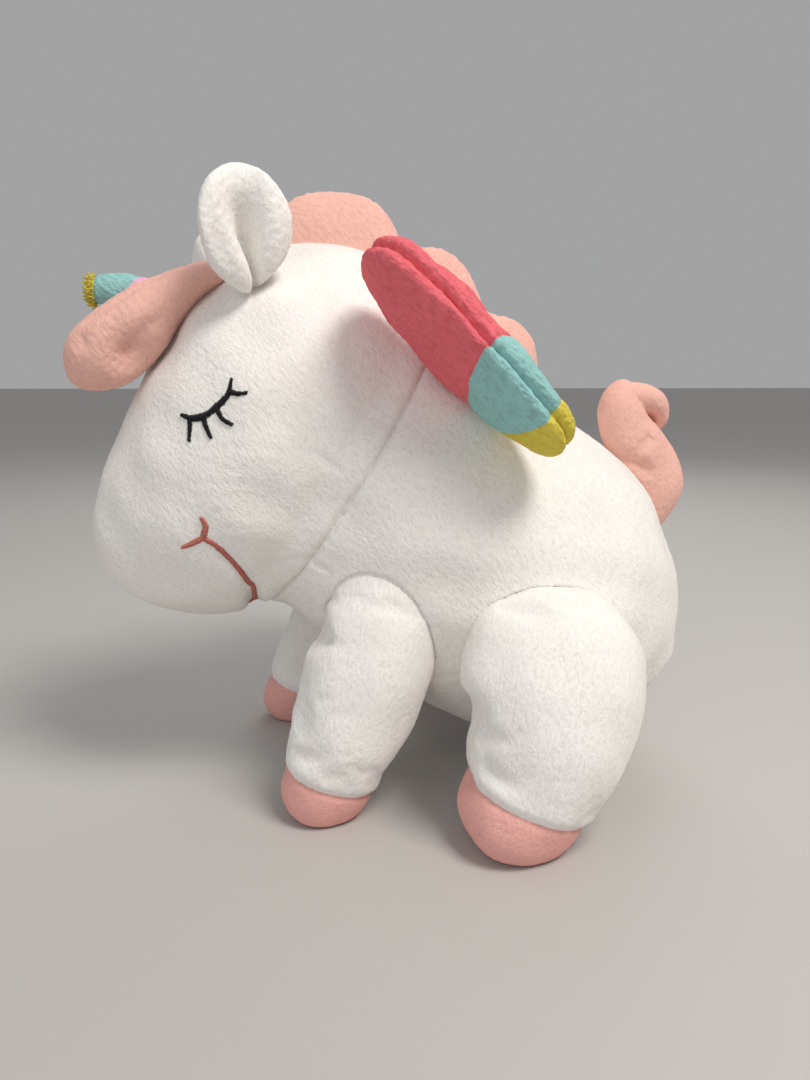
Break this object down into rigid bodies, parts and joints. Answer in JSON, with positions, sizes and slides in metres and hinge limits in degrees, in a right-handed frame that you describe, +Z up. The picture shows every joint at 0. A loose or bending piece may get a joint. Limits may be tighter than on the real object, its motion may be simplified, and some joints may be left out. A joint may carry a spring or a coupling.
{
  "type": "plush unicorn",
  "caption": "Standing stuffed unicorn toy in short-pile plush with bendable legs, wings, ears, horn, forelock and tail, a scalloped mane and embroidered sleeping eyes.",
  "frame": {"origin": "centre of the bounding box's bottom, on the plane that the four soles stand on", "axes": "+Z up; the toy faces -Y, with its left side towards +X; the long way of the toy is along Y"},
  "size_m": [0.2132, 0.2616, 0.2432],
  "materials": {
    "white_plush": "short-pile plush, matt",
    "peach_plush": "short-pile plush, matt",
    "pink_plush": "short-pile plush, matt",
    "teal_plush": "short-pile plush, matt",
    "yellow_plush": "short-pile plush, matt",
    "filling": "loose polyester fibre",
    "black_thread": "satin-stitched embroidery thread",
    "rose_thread": "satin-stitched embroidery thread"
  },
  "bodies": {
    "body": {"torso_left_panel": "white_plush", "torso_right_panel": "white_plush", "belly_panel": "white_plush", "torso_filling": "filling", "head_left_panel": "white_plush", "head_right_panel": "white_plush", "head_filling": "filling", "mane_left_face": "peach_plush", "mane_right_face": "peach_plush", "mane_filling": "filling", "left_eye_embroidery": "black_thread", "right_eye_embroidery": "black_thread", "mouth_embroidery": "rose_thread"},
    "left_front_leg": {"left_front_leg_sleeve": "white_plush", "left_front_leg_hoof": "peach_plush", "left_front_leg_filling": "filling"},
    "right_front_leg": {"right_front_leg_sleeve": "white_plush", "right_front_leg_hoof": "peach_plush", "right_front_leg_filling": "filling"},
    "left_hind_leg": {"left_hind_leg_sleeve": "white_plush", "left_hind_leg_hoof": "peach_plush", "left_hind_leg_filling": "filling"},
    "right_hind_leg": {"right_hind_leg_sleeve": "white_plush", "right_hind_leg_hoof": "peach_plush", "right_hind_leg_filling": "filling"},
    "left_wing": {"left_wing_pink_panel": "pink_plush", "left_wing_teal_panel": "teal_plush", "left_wing_yellow_tip": "yellow_plush", "left_wing_padding": "filling"},
    "right_wing": {"right_wing_pink_panel": "pink_plush", "right_wing_teal_panel": "teal_plush", "right_wing_yellow_tip": "yellow_plush", "right_wing_padding": "filling"},
    "left_ear": {"left_ear_front": "white_plush", "left_ear_back": "white_plush"},
    "right_ear": {"right_ear_front": "white_plush", "right_ear_back": "white_plush"},
    "horn": {"horn_pink_base": "pink_plush", "horn_teal_band": "teal_plush", "horn_yellow_tip": "yellow_plush", "horn_filling": "filling"},
    "forelock": {"forelock_cover": "peach_plush", "forelock_filling": "filling"},
    "tail": {"tail_cover": "peach_plush", "tail_filling": "filling"}
  },
  "joints": [
    {"name": "left_front_leg_swing", "type": "hinge", "parent": "body", "child": "left_front_leg", "pos_m": [0.048, -0.02208, 0.08], "axis": [1, 0, 0], "range_deg": [-12, 6], "stiffness_Nm_per_rad": 1.2},
    {"name": "right_front_leg_swing", "type": "hinge", "parent": "body", "child": "right_front_leg", "pos_m": [-0.048, -0.02208, 0.08], "axis": [1, 0, 0], "range_deg": [-12, 6], "stiffness_Nm_per_rad": 1.2},
    {"name": "left_hind_leg_swing", "type": "hinge", "parent": "body", "child": "left_hind_leg", "pos_m": [0.07, 0.04092, 0.066], "axis": [1, 0, 0], "range_deg": [-5, 12], "stiffness_Nm_per_rad": 1.2},
    {"name": "right_hind_leg_swing", "type": "hinge", "parent": "body", "child": "right_hind_leg", "pos_m": [-0.07, 0.04092, 0.066], "axis": [1, 0, 0], "range_deg": [-5, 12], "stiffness_Nm_per_rad": 1.2},
    {"name": "left_wing_flap", "type": "hinge", "parent": "body", "child": "left_wing", "pos_m": [0.052, 0.01032, 0.1716], "axis": [0.046, 0.7049, -0.7079], "range_deg": [-40, 12], "stiffness_Nm_per_rad": 0.08},
    {"name": "right_wing_flap", "type": "hinge", "parent": "body", "child": "right_wing", "pos_m": [-0.052, 0.01032, 0.1716], "axis": [0.046, -0.7049, 0.7079], "range_deg": [-40, 12], "stiffness_Nm_per_rad": 0.08},
    {"name": "left_ear_fold", "type": "hinge", "parent": "body", "child": "left_ear", "pos_m": [0.043, -0.06208, 0.197], "axis": [-0.2999, 0.9487, 0.1], "range_deg": [-30, 35], "stiffness_Nm_per_rad": 0.03},
    {"name": "right_ear_fold", "type": "hinge", "parent": "body", "child": "right_ear", "pos_m": [-0.043, -0.06508, 0.195], "axis": [-0.2999, -0.8573, -0.4184], "range_deg": [-30, 35], "stiffness_Nm_per_rad": 0.03},
    {"name": "horn_tilt", "type": "hinge", "parent": "body", "child": "horn", "pos_m": [0, -0.08708, 0.195], "axis": [1, 0, 0], "range_deg": [-20, 20], "stiffness_Nm_per_rad": 0.06},
    {"name": "forelock_lift", "type": "hinge", "parent": "body", "child": "forelock", "pos_m": [0.024, -0.07708, 0.208], "axis": [1, 0, 0], "range_deg": [-45, 4], "stiffness_Nm_per_rad": 0.06},
    {"name": "tail_wag", "type": "hinge", "parent": "body", "child": "tail", "pos_m": [0, 0.10292, 0.118], "axis": [0, 0.2, 0.9798], "range_deg": [-45, 45], "stiffness_Nm_per_rad": 0.08}
  ]
}
